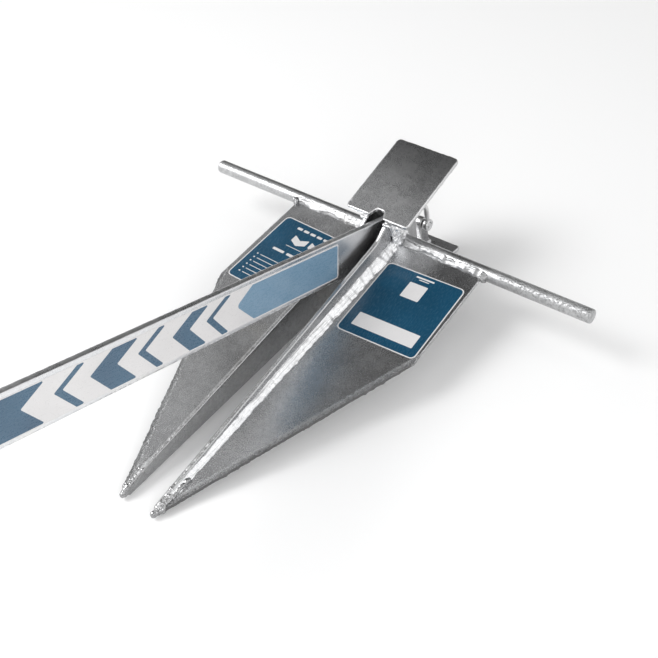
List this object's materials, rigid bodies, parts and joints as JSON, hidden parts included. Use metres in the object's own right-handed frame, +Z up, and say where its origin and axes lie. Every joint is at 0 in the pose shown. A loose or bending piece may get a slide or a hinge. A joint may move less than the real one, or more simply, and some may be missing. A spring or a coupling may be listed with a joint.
{
  "type": "pivoting-fluke anchor",
  "caption": "Galvanised boat anchor with flat pointed flukes and palms welded round a cross stock, and a flat shank that swings between the flukes.",
  "frame": {"origin": "on the ground under the middle of the part's bounding box; the anchor lies on its lower palm's rear edge and its two fluke tips, with the shank raised as it is held in use", "axes": "+X from the crown towards the fluke tips and the shank's eye, +Y along the stock, +Z up from the ground"},
  "size_m": [0.728, 0.5, 0.2653],
  "materials": {
    "galvanised": "hot-dip galvanised flat plate and bar, satin to bright, with soft spangle, streaks and ragged zinc at the edges",
    "galvanised_dull": "hot-dip galvanised, duller grey with mottled spangle and runs of zinc",
    "weld_zinc": "lumpy weld bead under bright zinc",
    "label_vinyl": "printed gloss vinyl label, dark blue with a white border and plain white panels",
    "decal_vinyl": "printed gloss vinyl strip, steel blue and off-white geometric bands, no lettering",
    "shackle_zinc": "galvanised forging, rounded and slightly rough"
  },
  "bodies": {
    "flukes": {"stock": "galvanised_dull", "left_fluke": "galvanised", "right_fluke": "galvanised", "left_web": "galvanised", "right_web": "galvanised", "left_tip": "weld_zinc", "right_tip": "weld_zinc", "upper_palm": "galvanised_dull", "lower_palm": "galvanised_dull", "trip_lug": "galvanised_dull", "left_web_weld": "weld_zinc", "right_web_weld": "weld_zinc", "left_stock_weld": "weld_zinc", "right_stock_weld": "weld_zinc", "left_crown_weld": "weld_zinc", "right_crown_weld": "weld_zinc", "upper_palm_weld": "weld_zinc", "lower_palm_weld": "weld_zinc", "lug_weld": "weld_zinc", "left_label": "label_vinyl", "right_label": "label_vinyl"},
    "shank": {"shank": "galvanised", "shank_decal_left": "decal_vinyl", "shank_decal_right": "decal_vinyl"},
    "trip_shackle": {"shackle_bow": "shackle_zinc", "shackle_pin": "shackle_zinc"}
  },
  "joints": [
    {"name": "shank_swing", "type": "hinge", "parent": "flukes", "child": "shank", "pos_m": [-0.27651, 0, 0.06168], "axis": [0, -1, 0], "range_deg": [-58.9, 11.1]},
    {"name": "trip_shackle_swing", "type": "hinge", "parent": "flukes", "child": "trip_shackle", "pos_m": [-0.33958, 0, 0.03949], "axis": [0, 1, 0], "range_deg": [-158, 61]}
  ]
}
